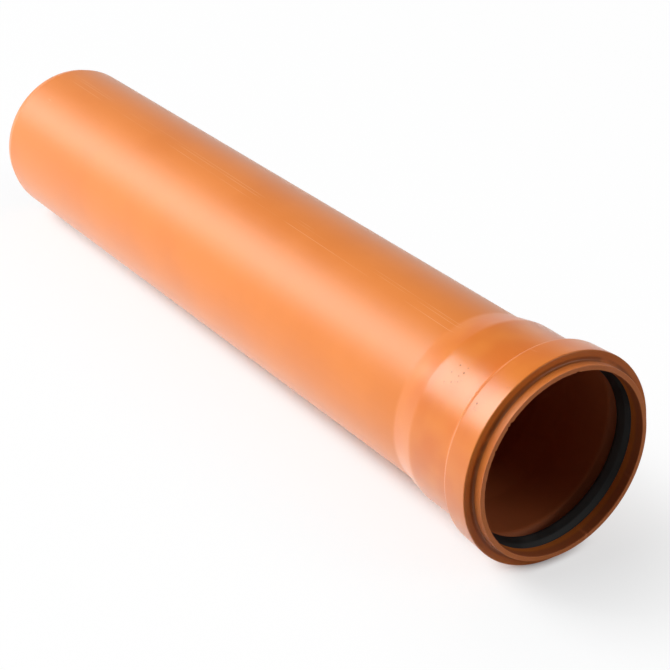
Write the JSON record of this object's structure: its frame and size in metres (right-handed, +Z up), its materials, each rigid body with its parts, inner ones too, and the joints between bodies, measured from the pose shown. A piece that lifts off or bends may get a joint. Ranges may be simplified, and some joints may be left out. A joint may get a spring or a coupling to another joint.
{
  "type": "sewer pipe",
  "caption": "Push-fit drain pipe with a chamfered plain end, a formed socket with a ring bead, and a rubber lip ring in the socket's groove.",
  "frame": {"origin": "on the floor, under the middle of the pipe's length", "axes": "+X along the pipe towards the mouth of the socket, +Z up; the pipe lies on its plain end and on the ring bead, so its own axis rises towards +X by about one degree"},
  "size_m": [0.5762, 0.1292, 0.1292],
  "materials": {
    "pipe": "satin orange-brown extruded plastic",
    "seal": "moulded black rubber"
  },
  "bodies": {
    "root": {"pipe": "pipe", "seal_ring": "seal"}
  },
  "joints": []
}
